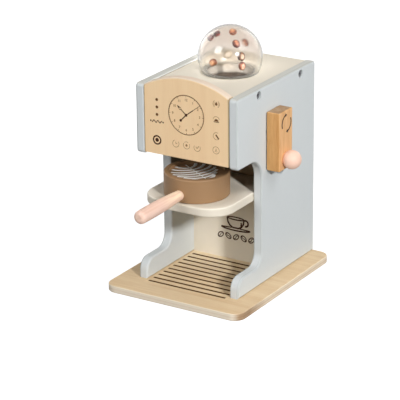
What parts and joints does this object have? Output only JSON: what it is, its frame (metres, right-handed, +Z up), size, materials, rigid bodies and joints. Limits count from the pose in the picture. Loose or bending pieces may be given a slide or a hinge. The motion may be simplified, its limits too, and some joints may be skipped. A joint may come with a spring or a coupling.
{
  "type": "toy coffee maker",
  "caption": "Wooden play coffee maker: two shaped side panels on a slatted-line base, arched front, cup shelf with pull-out portafilter, clear bean dome and a side crank",
  "frame": {"origin": "centre of the base board's underside, on the surface the toy stands on", "axes": "+Z up, -Y towards the child at the front, +X to the crank side"},
  "size_m": [0.1778, 0.2518, 0.2718],
  "materials": {
    "birch_plywood": "clear-lacquered light plywood with dark printed or routed drip lines",
    "blue_grey_paint": "smooth satin water-based paint on wood",
    "cream_paint": "smooth satin water-based paint on wood",
    "natural_maple": "clear-lacquered pale wood with faint straight grain",
    "dowel_wood": "plain sanded wood",
    "clear_plastic": "clear blow-moulded plastic, glossy",
    "bean_paint": "glossy painted wooden beads",
    "beech_wood": "clear-lacquered beech with visible grain",
    "peach_paint": "satin paint on a turned ball",
    "nylon": "translucent white nylon",
    "steel": "plain steel",
    "brown_paint": "satin paint on a turned block",
    "pink_paint": "satin paint on a turned handle",
    "black_steel": "black oxide steel"
  },
  "bodies": {
    "machine": {"base_board": "birch_plywood", "left_side_panel": "blue_grey_paint", "right_side_panel": "blue_grey_paint", "back_panel": "cream_paint", "rear_panel": "cream_paint", "head_floor": "cream_paint", "top_board": "cream_paint", "cup_shelf": "cream_paint", "front_fascia": "natural_maple", "joint_dowels": "dowel_wood", "dome": "clear_plastic", "bean_tray": "dowel_wood", "coffee_beans": "bean_paint", "axle_washer": "nylon", "panel_screws": "black_steel", "base_screws": "black_steel"},
    "crank": {"crank_arm": "beech_wood", "crank_knob": "peach_paint", "knob_dowel": "dowel_wood", "crank_axle": "dowel_wood", "axle_collar": "dowel_wood", "collar_pin": "steel"},
    "portafilter": {"portafilter_cup": "brown_paint", "portafilter_handle": "pink_paint", "handle_dowel": "dowel_wood"}
  },
  "joints": [
    {"name": "crank_spin", "type": "hinge", "parent": "machine", "child": "crank", "pos_m": [0.061, 0.0065, 0.1831], "axis": [1, 0, 0], "continuous": true},
    {"name": "portafilter_slide", "type": "slide", "parent": "machine", "child": "portafilter", "axis": [0, -1, 0], "range_m": [-0.038, 0.075]}
  ]
}
